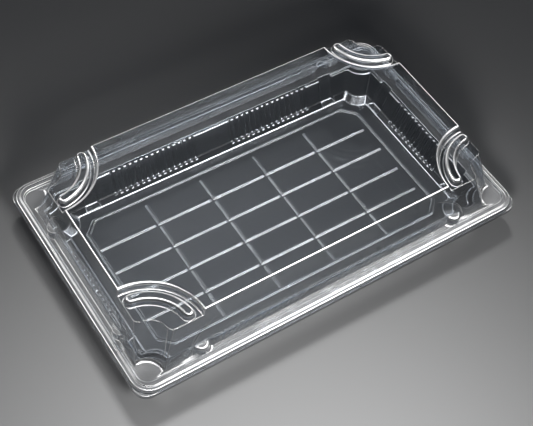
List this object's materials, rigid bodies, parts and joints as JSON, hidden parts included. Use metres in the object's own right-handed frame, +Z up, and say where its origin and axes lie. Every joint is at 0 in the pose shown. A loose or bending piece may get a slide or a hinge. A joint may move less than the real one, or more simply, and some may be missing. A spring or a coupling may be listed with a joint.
{
  "type": "takeaway sushi tray",
  "caption": "Clear rectangular takeaway food tray with a closed clear domed lid, scooped corners, fluted walls and raised floor lines.",
  "frame": {"origin": "centre of the whole object's footprint, on the underside of the tray's floor", "axes": "+X along the long side, +Y along the short side, +Z up through the lid"},
  "size_m": [0.24, 0.1478, 0.0462],
  "materials": {
    "tray": "clear glossy formed plastic sheet",
    "lid": "clear glossy formed plastic sheet"
  },
  "bodies": {
    "root": {"tray": "tray", "lid": "lid"}
  },
  "joints": []
}
